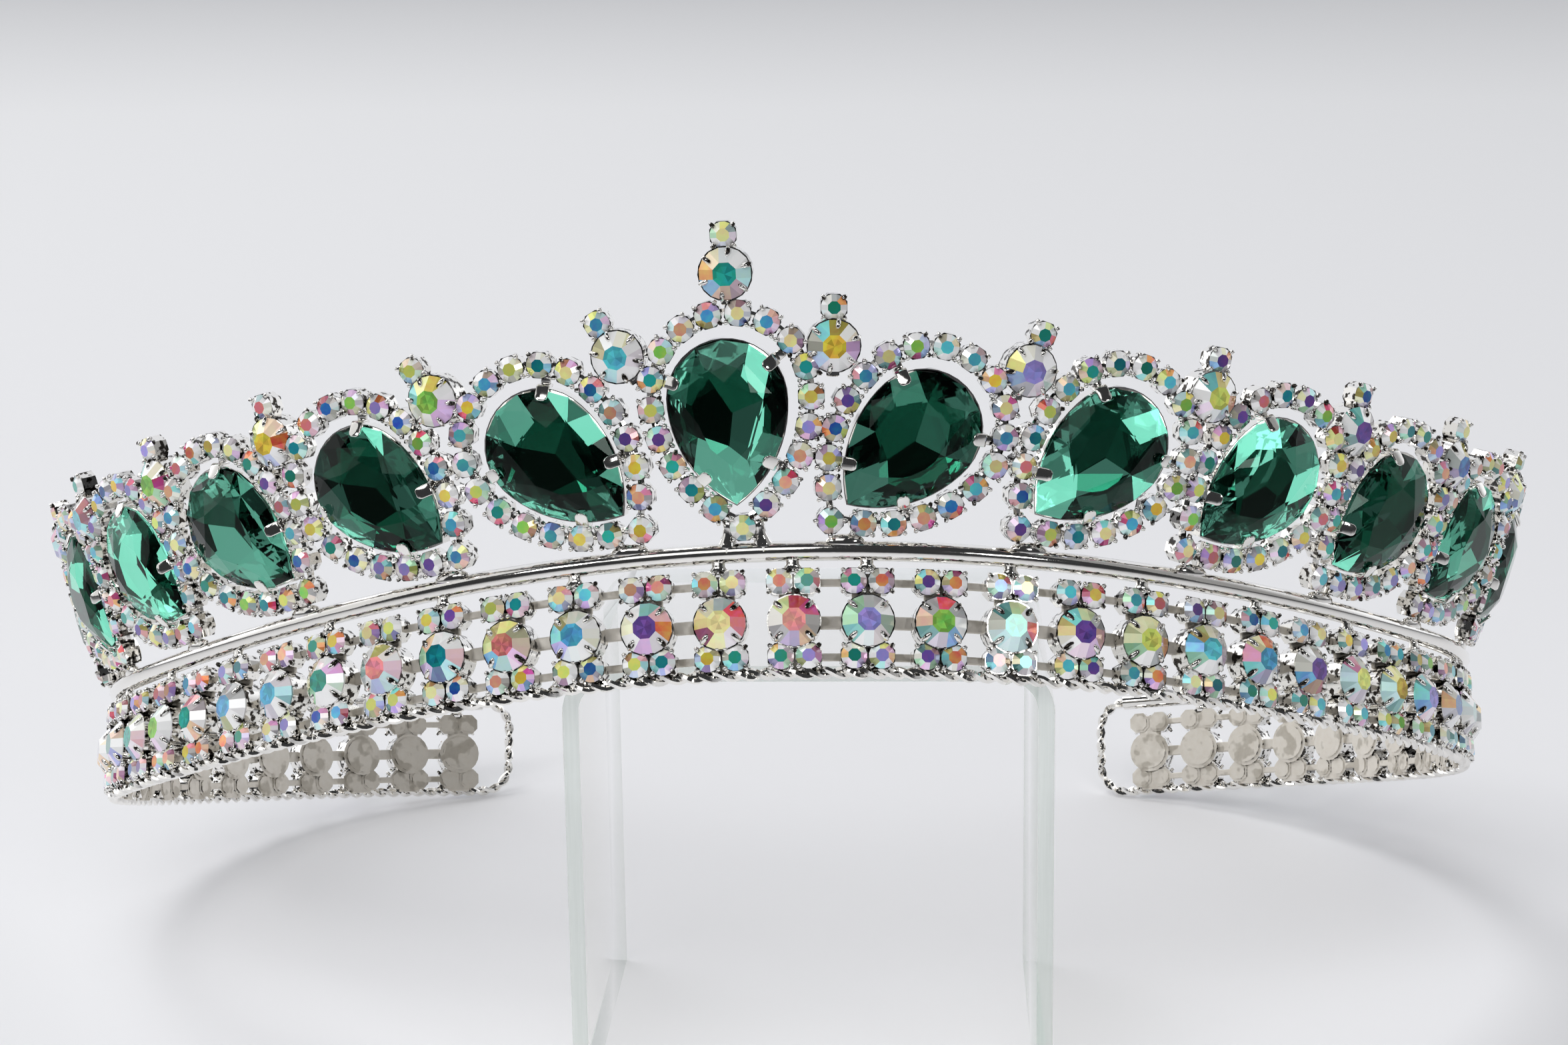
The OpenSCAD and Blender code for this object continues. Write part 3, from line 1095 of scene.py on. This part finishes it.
@dataclass
class CupMaker:
    """Stamps the cups that hold the round stones."""

    small: float = 2.9
    large_r: float = 3.0
    prong_reach: float = 1.58
    prong_tip: float = 28.0

    def small_cup(self) -> Object:
        """Makes a small square cup with a prong at each corner.

        Returns:
            The cup.
        """
        half = self.small / 2
        cup = Bench.block("small_cup", (-half, -0.72, -half), (half, 1.15, half))
        with Bench.editing(cup):
            Bench.pick_edges(cup, lambda a, b: abs(a.y - b.y) > 1)
            bpy.ops.mesh.bevel(offset=0.8, segments=1)
            bpy.ops.mesh.select_mode(type="FACE")
            Bench.hollow(cup, 0.12, 0.5, 0.35, 0.15)
        parts = [cup]
        for quarter in range(4):
            a = math.pi / 4 + quarter * math.pi / 2
            place = (self.prong_reach * math.cos(a), -0.9, self.prong_reach * math.sin(a))
            parts.append(Bench.bead("prong", place, (0.44, 0.38, 0.3), (0, -a, 0), 5, 3))
        cup = Bench.join(parts, "small_cup")
        self.turn_back(cup)
        return cup

    @staticmethod
    def turn_back(cup: Object) -> None:
        """Gives the cup its two finishes, the second one on its back.

        Args:
            cup: The cup.
        """
        for finish in (StampedCup(), StampedBack()):
            cup.data.materials.append(finish.material())
        for face in cup.data.polygons:
            face.material_index = 1 if face.normal.y > 0.5 and face.center.y > 0.3 else 0

    def large_cup(self, prongs: int, turn: float, width: float, length: float) -> Object:
        """Makes a round cup with prongs folded over its stone.

        Args:
            prongs: How many prongs.
            turn: Angle of the first one, in degrees.
            width: Half a prong's width.
            length: Half its length.

        Returns:
            The cup.
        """
        cup = Bench.barrel("large_cup", 20, self.large_r, -1.0, 1.6)
        with Bench.editing(cup):
            Bench.hollow(cup, 0.16, 0.8, 0.5, 0.2)
        Bench.smooth(cup, 40)
        parts = [cup]
        reach = self.large_r + 0.05 - length * 0.75
        for i in range(prongs):
            a = math.radians(turn) + 2 * math.pi * i / prongs
            place = (reach * math.cos(a), -1.5, reach * math.sin(a))
            prong = Bench.bead("prong", (0, 0, 0), (length, 0.3, width), (0, 0, 0), 8, 5)
            prong.data.transform(Matrix.Translation(place) @ Matrix.Rotation(-a, 4, "Y")
                                 @ Matrix.Rotation(math.radians(self.prong_tip), 4, "Z"))
            parts.append(prong)
        cup = Bench.join(parts, "large_cup")
        self.turn_back(cup)
        return cup


@dataclass
class Band:
    """The wide base band: columns of stones, their links, the rail above and the twisted wire below."""

    ring: Ring
    cups: CupMaker
    cutter: StoneCutter
    upper: float = 4.45
    lower: float = 3.8
    spread: float = 1.52
    rail_r: float = 1.12
    loop: float = 4.0
    bend_steps: int = 14
    side_steps: int = 9
    wire_step: float = 0.4

    def places(self) -> list[tuple[int, Matrix]]:
        """Number and place of each column."""
        count = self.ring.columns
        return [(k, self.ring.at((k + 0.5) * self.ring.pitch)) for k in range(-count, count)]

    def small_places(self) -> list[Matrix]:
        """Place of each small cup in the band."""
        return [place @ Matrix.Translation((x, 0, z)) for _, place in self.places()
                for z in (self.upper, -self.lower) for x in (-self.spread, self.spread)]

    def edge_line(self, row: float) -> list[Vector]:
        """Points along the band's edge at a height above the large stones."""
        steps = int(self.ring.half)
        return [self.ring.at(s) @ Vector((0, 0, row)) for s in range(-steps, steps + 1, 2)]

    def rail(self) -> Object:
        """Draws the plain round rail."""
        return Bench.rod("plain_rail", self.edge_line(self.ring.rail_row), self.rail_r * MM, 4)

    def wire_line(self) -> list[tuple[Vector, Vector, Vector]]:
        """Middle of the twisted wire with two directions across it, round both ends up to the rail.

        Returns:
            The points in metres, each with its two directions.
        """
        half, loop = self.ring.half, self.loop
        top, low = self.ring.rail_row, -self.ring.wire_row
        quarter = [math.pi / 2 * i / self.bend_steps for i in range(self.bend_steps + 1)]
        straight = [(low + 2 * loop - top) * i / self.side_steps for i in range(1, self.side_steps)]
        ways = [(loop * math.sin(a), top - loop + loop * math.cos(a), a) for a in quarter]
        ways += [(loop, top - loop + run, math.pi / 2) for run in straight]
        ways += [(loop * math.cos(a), low + loop - loop * math.sin(a), math.pi / 2 + a) for a in quarter]
        ends = {}
        for side in (-1, 1):
            place = self.ring.at(side * half, leaning=False)
            turn = place.to_3x3().normalized()
            ends[side] = [(place @ Vector((side * x, 0, z)),
                           turn @ Vector((-side * math.sin(a), 0, -math.cos(a))),
                           turn @ Vector((0, 1, 0))) for x, z, a in ways]
        middle = []
        count = int(2 * half / self.wire_step)
        for i in range(1, count):
            place = self.ring.at(-half + 2 * half * i / count)
            turn = place.to_3x3().normalized()
            middle.append((place @ Vector((0, 0, low)), turn @ Vector((0, 0, 1)),
                           turn @ Vector((0, 1, 0))))
        return ends[-1] + middle + ends[1][::-1]

    def twisted_wire(self, lead: float = 4.0, strand: float = 0.37) -> Object:
        """Lays two strands round each other along the lower edge and up both ends.

        Args:
            lead: Length of one full twist.
            strand: Radius of a strand.

        Returns:
            The twisted wire.
        """
        line = self.wire_line()
        strands = []
        for turn in (0.0, math.pi):
            points, run = [], 0.0
            for i, (p, across, inward) in enumerate(line):
                run += (p - line[i - 1][0]).length / MM if i else 0.0
                a = turn - 2 * math.pi * run / lead
                points.append(p + strand * MM * (math.cos(a) * across + math.sin(a) * inward))
            strands.append(Bench.rod("strand", points, strand * MM, 1))
        return Bench.join(strands, "twisted_wire")

    def links(self) -> Object:
        """Makes the link bars between the columns, three high, but for the middle gap.

        Returns:
            The bars.
        """
        bars = []
        for row, tall in ((self.upper, 0.85), (0.0, 1.45), (-self.lower, 0.85)):
            bar = Bench.block("link", (-2.9, 0.62, -tall / 2), (2.9, 1.12, tall / 2))
            Bench.finish(bar, "BEVEL", width=0.12, segments=1)
            stops = [k * self.ring.pitch for k in range(1 - self.ring.columns, self.ring.columns) if k]
            places = [self.ring.at(s) @ Matrix.Translation((row * math.tan(self.ring.tilt(s)), 0, row))
                      for s in stops]
            bars.append(Bench.copies(bar, places, "links"))
            Bench.scrap(bar)
        return Bench.join(bars, "link_bars")

    def webs(self) -> Object:
        """Makes the plate behind each column.

        Returns:
            The plates.
        """
        web = Bench.block("web", (-1.6, 0.52, -self.ring.wire_row), (1.6, 1.0, self.upper + 1.0))
        Bench.finish(web, "BEVEL", width=0.1, segments=1)
        piece = Bench.copies(web, [place for _, place in self.places()], "column_webs")
        Bench.scrap(web)
        return piece

    def solder_posts(self) -> Object:
        """Makes the waisted solder posts that tie the upper stones to the rail.

        Returns:
            The posts.
        """
        middle, half, inward = 6.9, 1.3, 0.15
        bpy.ops.mesh.primitive_cylinder_add(vertices=10, radius=1.0, depth=2 * half,
                                            location=(0, inward, middle))
        post = Bench.named("post")
        with Bench.editing(post):
            Bench.pick_all()
            bpy.ops.mesh.subdivide(number_cuts=2)
        for vertex in post.data.vertices:
            waist = 1 - 0.5 * math.cos((vertex.co.z - middle) / half * math.pi / 2)
            vertex.co.x *= waist * 1.35
            vertex.co.y = inward + (vertex.co.y - inward) * waist
        Bench.take(post)
        bpy.ops.object.shade_smooth()
        chosen = [place for k, place in self.places() if (k + self.ring.columns) % 2 == 0 or k == 0]
        piece = Bench.copies(post, chosen, "solder_posts")
        Bench.scrap(post)
        return piece

    def stones(self, model: Object, first: int, last: int, name: str) -> Object:
        """Sets the large stones of one stretch of the band."""
        places = [place for k, place in self.places() if first <= k <= last]
        return Bench.copies(model, places, name, self.cutter.colour)


@dataclass
class PearMotif:
    """A pear stone in its claws, with the halo of small stones round it."""

    ring: Ring
    outline: DropOutline
    cutter: StoneCutter
    halo_count: int = 19
    halo_offset: float = 2.2
    halo_lift: float = 0.6
    middle_halo_shift: float = 0.4
    wire_y: float = 0.55
    wire_r: float = 0.42
    dish_back: float = 1.15
    dish_wall: float = 1.65
    dish_depth: float = 1.25
    wall_share: float = 0.985
    claw_angles: tuple[float, ...] = (35, 158, 248, -59)
    claw_bend: float = 58.0
    legs: tuple[tuple[float, float], ...] = ((-1.1, 10), (2.9, -12))
    blob_shift: float = 5.9

    def halo_places(self, n: int) -> list[Matrix]:
        """Place of each small cup in the halo of motif n, one on the tip and the rest evenly round.

        Args:
            n: The motif's number.

        Returns:
            Their matrices.
        """
        out = []
        for i in range(self.halo_count):
            spot, normal = self.outline.point(i / self.halo_count, self.halo_offset)
            turn = math.atan2(normal.y, normal.x) if i else -math.pi / 2
            lift = self.halo_lift if i else 0.0
            out.append(self.halo_centre(n) @ Matrix.Translation((spot.x, 0, spot.y + lift))
                       @ Matrix.Rotation(-turn, 4, "Y"))
        return out

    def halo_centre(self, n: int) -> Matrix:
        """Place about which the halo of motif n lies; the middle one sits a little to the right."""
        return self.ring.motif(n) @ Matrix.Translation((0 if n else self.middle_halo_shift, 0, 0))

    def halo_wire(self, n: int) -> Object:
        """Draws the flat chain wire behind the halo's cups.

        Args:
            n: The motif's number.

        Returns:
            The wire.
        """
        count = 60
        spots = [self.outline.point(i / count, self.halo_offset)[0] for i in range(count)]
        place = self.halo_centre(n)
        line = [place @ Vector((spot.x, self.wire_y, spot.y + self.halo_lift)) for spot in spots]
        return Bench.rod("halo_wire", line, self.wire_r * MM, 1, closed=True)

    def pear(self) -> Object:
        """Cuts the pear: a brilliant crown in glass over a ridged, silvered back.

        Returns:
            The marked pear.
        """
        o = self.outline
        culet = [Vector((0.4, 1.0)), Vector((-0.3, -2.6))]
        back, edge = o.ring(8, 0.5, 0.56), o.ring(16, 0.0, 0.985)
        rings = [culet, back[::2], back[1::2], edge, edge, o.ring(8, 0.5, 0.77), o.ring(8, 0.0, 0.5)]
        pear = self.cutter.hull("pear", rings, [0.76, 0.36, 0.2, -0.45, -0.85, -1.78, -2.5])
        for face in pear.data.polygons:
            face.material_index = 1 if face.normal.y > 0.1 else 0
        self.cutter.mark(pear)
        return pear

    def setting(self) -> Object:
        """Makes the setting: a drop-shaped dish with a thin wall, its claws folded over the stone.

        Returns:
            The setting.
        """
        count = 40
        bpy.ops.mesh.primitive_circle_add(vertices=count, radius=1, fill_type="NGON")
        dish = Bench.named("setting")
        for vertex, p in zip(dish.data.vertices, self.outline.ring(count, 0.0, 1.0, 0.05)):
            vertex.co = (p.x, self.dish_back, p.y)
        with Bench.editing(dish):
            Bench.pick_all()
            Bench.push(-self.dish_wall)
            Bench.push(0)
            bpy.ops.transform.resize(value=(self.wall_share, 1, self.wall_share), center_override=(0, 0, 0))
            Bench.push(self.dish_depth)
            Bench.close()
        Bench.smooth(dish, 35)
        inner = self.outline.flank_r - self.outline.radius
        places = []
        for angle in self.claw_angles:
            a = math.radians(angle)
            reach, turn = self.outline.radius, a
            if not 0 < angle < 180:
                m = inner * abs(math.cos(a))
                reach = math.sqrt(m * m + self.outline.tip ** 2) - m
                turn = math.atan2(reach * math.sin(a),
                                  reach * math.cos(a) + math.copysign(inner, math.cos(a)))
            spot = (reach * math.cos(a), 0, self.outline.mid + reach * math.sin(a))
            places.append(Matrix.Translation(spot) @ Matrix.Rotation(-turn, 4, "Y"))
        claw = self.claw()
        setting = Bench.join([dish, Bench.copies(claw, places, "claws")], "setting")
        Bench.scrap(claw)
        return setting

    def claw(self) -> Object:
        """Bends one claw: up the outside of the dish, over its edge and down on to the crown.

        Returns:
            The claw.
        """
        claw = Bench.block("claw", (0.12, -0.8, -0.72), (0.5, 0.5, 0.72))
        lean = math.radians(self.claw_bend)
        way = Vector((-math.sin(lean), -math.cos(lean), 0))
        with Bench.editing(claw):
            Bench.pick_faces(claw, lambda c, n: n.y < -0.9)
            bpy.ops.mesh.spin(steps=4, angle=lean, center=(-0.08, -0.8, 0), axis=(0, 0, 1))
            for length, scale in ((1.05, 1.0), (0.3, 0.85), (0.22, 0.55)):
                bpy.ops.mesh.extrude_region_move(TRANSFORM_OT_translate={"value": way * length})
                bpy.ops.transform.resize(value=(1, 1, scale), center_override=(0, 0, 0))
        Bench.bevel_edges(claw, 0.1, 2, 50)
        bridge = Bench.block("bridge", (0.3, -0.15, -0.55), (1.5, 0.45, 0.55))
        Bench.finish(bridge, "BEVEL", width=0.15, segments=2)
        claw = Bench.join([claw, bridge], "claw")
        Bench.smooth(claw, 60)
        return claw

    def feet(self) -> Object:
        """Makes the solder between motifs and rail: two splayed legs in the middle, fillets at the sides.

        Returns:
            The solder.
        """
        leg = Bench.barrel("leg", 12, 1.0, -1.0, 1.0)
        leg.data.transform(Matrix.Rotation(math.pi / 2, 4, "X"))
        with Bench.editing(leg):
            Bench.pick_all()
            bpy.ops.mesh.subdivide(number_cuts=3)
        for vertex in leg.data.vertices:
            height = vertex.co.z
            waist = 0.55 + 0.75 * (0.5 - height / 2) ** 3 + 0.35 * max(0.0, height) ** 2
            vertex.co = (vertex.co.x * waist * 1.15, vertex.co.y * waist * 0.85, 1.95 + 1.75 * height)
        Bench.take(leg)
        bpy.ops.object.shade_smooth()
        blob = Bench.bead("blob", (0, 0, 0.9), (2.3, 0.85, 1.0), (0, 0, 0), 14, 8)
        legs = [self.ring.row(self.ring.motif_s(0) + x, 0) @ Matrix.Rotation(math.radians(lean), 4, "Y")
                for x, lean in self.legs]
        blobs = [self.ring.row(self.ring.motif_s(n) - math.copysign(self.blob_shift, n), 0)
                 for n in SIDES if n]
        parts = [Bench.copies(leg, legs, "legs"), Bench.copies(blob, blobs, "blobs")]
        piece = Bench.join(parts, "solder_feet")
        Bench.scrap(leg, blob)
        return piece

    def finial_posts(self) -> Object:
        """Makes the strip behind each finial.

        Returns:
            The strips.
        """
        post = Bench.block("post", (-0.7, 0.5, -3.5), (0.7, 0.95, 4.2))
        Bench.finish(post, "BEVEL", width=0.12, segments=1)
        piece = Bench.copies(post, [self.ring.finial(n) for n in SIDES], "finial_posts")
        Bench.scrap(post)
        return piece


@dataclass
class Riser:
    """The clear display riser: one sheet with two bends."""

    width: float = 55.0
    depth: float = 45.0
    height: float = 52.4
    sheet: float = 1.9
    bend: float = 5.4
    place: tuple[float, float] = (5.41, -55.47)

    def build(self) -> Object:
        """Bends the sheet from its left foot over the top to its right foot.

        Returns:
            The riser, in metres.
        """
        x, y = self.place
        left, wall, top = x - self.width / 2, self.height - self.bend, self.width - 2 * self.bend
        sheet = Bench.block("display_riser", (left, y, 0), (left + self.sheet, y + self.depth, wall))
        with Bench.editing(sheet):
            Bench.pick_faces(sheet, lambda c, n: n.z > 0.9)
            for turn_x, run in ((left + self.bend, (top, 0, 0)), (left + self.bend + top, (0, 0, -wall))):
                bpy.ops.mesh.spin(steps=10, angle=-math.pi / 2, center=(turn_x, 0, wall), axis=(0, 1, 0))
                bpy.ops.mesh.extrude_region_move(TRANSFORM_OT_translate={"value": run})
            Bench.pick_all()
            bpy.ops.mesh.remove_doubles(threshold=0.001)
            Bench.close()
        Bench.bevel_edges(sheet, 0.18, 2, 60)
        Bench.smooth(sheet, 30)
        for face in sheet.data.polygons:
            foot = face.normal.z < -0.6 and face.center.z < 1
            face.material_index = 1 if foot or abs(face.normal.y) > 0.6 else 0
        sheet.data.transform(Matrix.Scale(MM, 4))
        return sheet


@dataclass
class Tiara:
    """The whole tiara, in the order it is put together."""

    ring: Ring = field(default_factory=Ring)
    cups: CupMaker = field(default_factory=CupMaker)
    cutter: StoneCutter = field(default_factory=StoneCutter)
    outline: DropOutline = field(default_factory=DropOutline)

    def build(self) -> None:
        """Builds and hands over every piece."""
        band = Band(self.ring, self.cups, self.cutter)
        motif = PearMotif(self.ring, self.outline, self.cutter)
        silver, crystal = SilverPlate(), AuroraCrystal()

        small_cup = self.cups.small_cup()
        small_stone = self.cutter.round_stone("small_stone", 1.44, 0.74, -0.2, -0.75, -1.28)
        large_stone = self.cutter.round_stone("large_stone", 2.86, 1.35, -0.3, -1.1, -2.3, 0.42)
        halos = [place for n in SIDES for place in motif.halo_places(n)]
        finials = [self.ring.finial(n) for n in SIDES]
        tops = [place @ Matrix.Translation((0, 0, self.ring.finial_step)) for place in finials]
        for name, places in (("band", band.small_places()), ("halo", halos), ("finial", tops)):
            held = Bench.copies(small_cup, places, f"{name}_small_cups")
            hand_over(held, stands_for=["tiara_frame"])
            stones = Bench.copies(small_stone, places, f"{name}_small_stones", self.cutter.colour)
            hand_over(stones, [crystal])
        large_cup = self.cups.large_cup(4, 45, 0.33, 0.85)
        columns = [place for _, place in band.places()]
        hand_over(Bench.copies(large_cup, columns, "band_large_cups"))
        finial_cup = self.cups.large_cup(6, 20, 0.3, 0.75)
        hand_over(Bench.copies(finial_cup, finials, "finial_cups"))
        for part, first, last in (("left", -25, -10), ("front", -9, 8), ("right", 9, 24)):
            stones = band.stones(large_stone, first, last, f"{part}_band_stones")
            hand_over(stones, [crystal], [f"band_stones_{part}"])
        for n, place in zip(SIDES, finials):
            stone = Bench.copies(large_stone, [place], f"cut_finial_stone_{label(n)}", self.cutter.colour)
            hand_over(stone, [crystal], [f"finial_stone_{label(n)}"])
        for piece in (band.rail(), band.twisted_wire(), band.solder_posts()):
            hand_over(piece, [silver])
        for piece in (band.links(), band.webs()):
            hand_over(piece, [StampedBack()])
        pear, setting = motif.pear(), motif.setting()
        for n in SIDES:
            cut = Bench.copies(pear, [self.ring.motif(n)], f"cut_pear_{label(n)}", self.cutter.foil)
            hand_over(cut, [EmeraldGlass(), MirrorFoil()], [f"pear_stone_{label(n)}"])
        for piece in (Bench.copies(setting, [self.ring.motif(n) for n in SIDES], "pear_settings"),
                      Bench.join([motif.halo_wire(n) for n in SIDES], "halo_wires"),
                      motif.feet(), motif.finial_posts()):
            hand_over(piece, [silver])
        Bench.scrap(small_cup, small_stone, large_stone, large_cup, finial_cup, pear, setting)


@dataclass
class Studio:
    """Pale floor, soft lights and the camera."""

    eye: tuple[float, float, float] = (0.01795, -0.37591, 0.1432)
    pitch: float = 13.07
    yaw: float = 2.66
    roll: float = -0.8
    lens: float = 68.88
    floor_r: float = 8.0

    def camera(self) -> None:
        """Sets the camera at the photograph's angle."""
        data = bpy.data.cameras.new("camera")
        data.lens = self.lens
        data.sensor_width = 36.0
        data.clip_start = 0.01
        data.clip_end = 50
        camera = Bench.lay("camera", data)
        turns = ((self.yaw, "Z"), (90 - self.pitch, "X"), (self.roll, "Z"))
        camera.matrix_world = Matrix.Translation(self.eye)
        for degrees, axis in turns:
            camera.matrix_world = camera.matrix_world @ Matrix.Rotation(math.radians(degrees), 4, axis)
        bpy.context.scene.camera = camera

    def floor(self) -> None:
        """Lays the floor, wide enough to fill the view."""
        bpy.ops.mesh.primitive_circle_add(vertices=96, radius=self.floor_r, fill_type="NGON",
                                          location=(0, 0, 0))
        floor = bpy.context.active_object
        floor.name = "floor"
        floor.data.materials.append(StudioPaper().material())

    def light(self, name: str, place: tuple, size: tuple, power: float, aim: tuple = (0, 0, 0.05),
              mirrored: bool = True) -> None:
        """Hangs one soft box.

        Args:
            name: Its name.
            place: Where it hangs, in metres.
            size: Its width and height.
            power: Its power in watts.
            aim: The point it faces.
            mirrored: Whether it shows in mirrors and glass.
        """
        data = bpy.data.lights.new(name, "AREA")
        data.shape = "RECTANGLE"
        data.size, data.size_y = size
        data.energy = power
        lamp = Bench.lay(name, data)
        lamp.location = place
        lamp.rotation_euler = (Vector(aim) - Vector(place)).to_track_quat("-Z", "Y").to_euler()
        lamp.visible_glossy = lamp.visible_transmission = mirrored

    def world(self) -> None:
        """Fills the room: pale behind and above, dark towards the viewer."""
        world = bpy.data.worlds.new("studio")
        bpy.context.scene.world = world
        world.use_nodes = True
        world.node_tree.nodes.clear()
        add = partial(add_node, world.node_tree)
        way = add("SeparateXYZ", {0: add("TexCoord")})
        fade = add("MapRange", {"Value": way.outputs["Y"], "From Min": -0.1, "From Max": 0.6,
                                "To Min": 0.04, "To Max": 0.9}, interpolation_type="SMOOTHSTEP")
        add("OutputWorld", {"Surface": add("Background", {"Color": linear("#f3f5fa"), "Strength": fade})})

    def build(self) -> None:
        """Sets up the whole studio."""
        self.camera()
        self.floor()
        self.world()
        self.light("left_wall", (-2.0, 1.0, 1.3), (4.0, 2.4), 22, (0, 1.0, 1.0))
        self.light("right_wall", (2.0, 1.0, 1.3), (4.0, 2.4), 8, (0, 1.0, 1.0))
        self.light("top_box", (-0.7, 0.6, 2.2), (0.8, 0.8), 12, (0, 0.1, 0.0))
        self.light("front_fill", (-0.3, -1.2, 1.3), (1.6, 1.6), 15, mirrored=False)
        self.light("front_box", (-0.25, -1.0, 1.05), (0.8, 0.6), 2.0)
        self.light("left_sparkle", (-0.9, -1.0, 1.0), (0.3, 0.3), 2.5)
        self.light("right_sparkle", (0.7, -0.9, 0.55), (0.2, 0.2), 1.0)
        bpy.context.scene.view_settings.view_transform = "Standard"
        log.info("studio set")


def main() -> None:
    """Builds the studio, the tiara and its riser, in that order."""
    logging.basicConfig(level=logging.INFO, format="%(name)s: %(message)s", force=True)
    Studio().build()
    Tiara().build()
    hand_over(Riser().build(), [ClearAcrylic(), AcrylicEdge()], ["riser"])


if __name__ == "__main__":
    main()
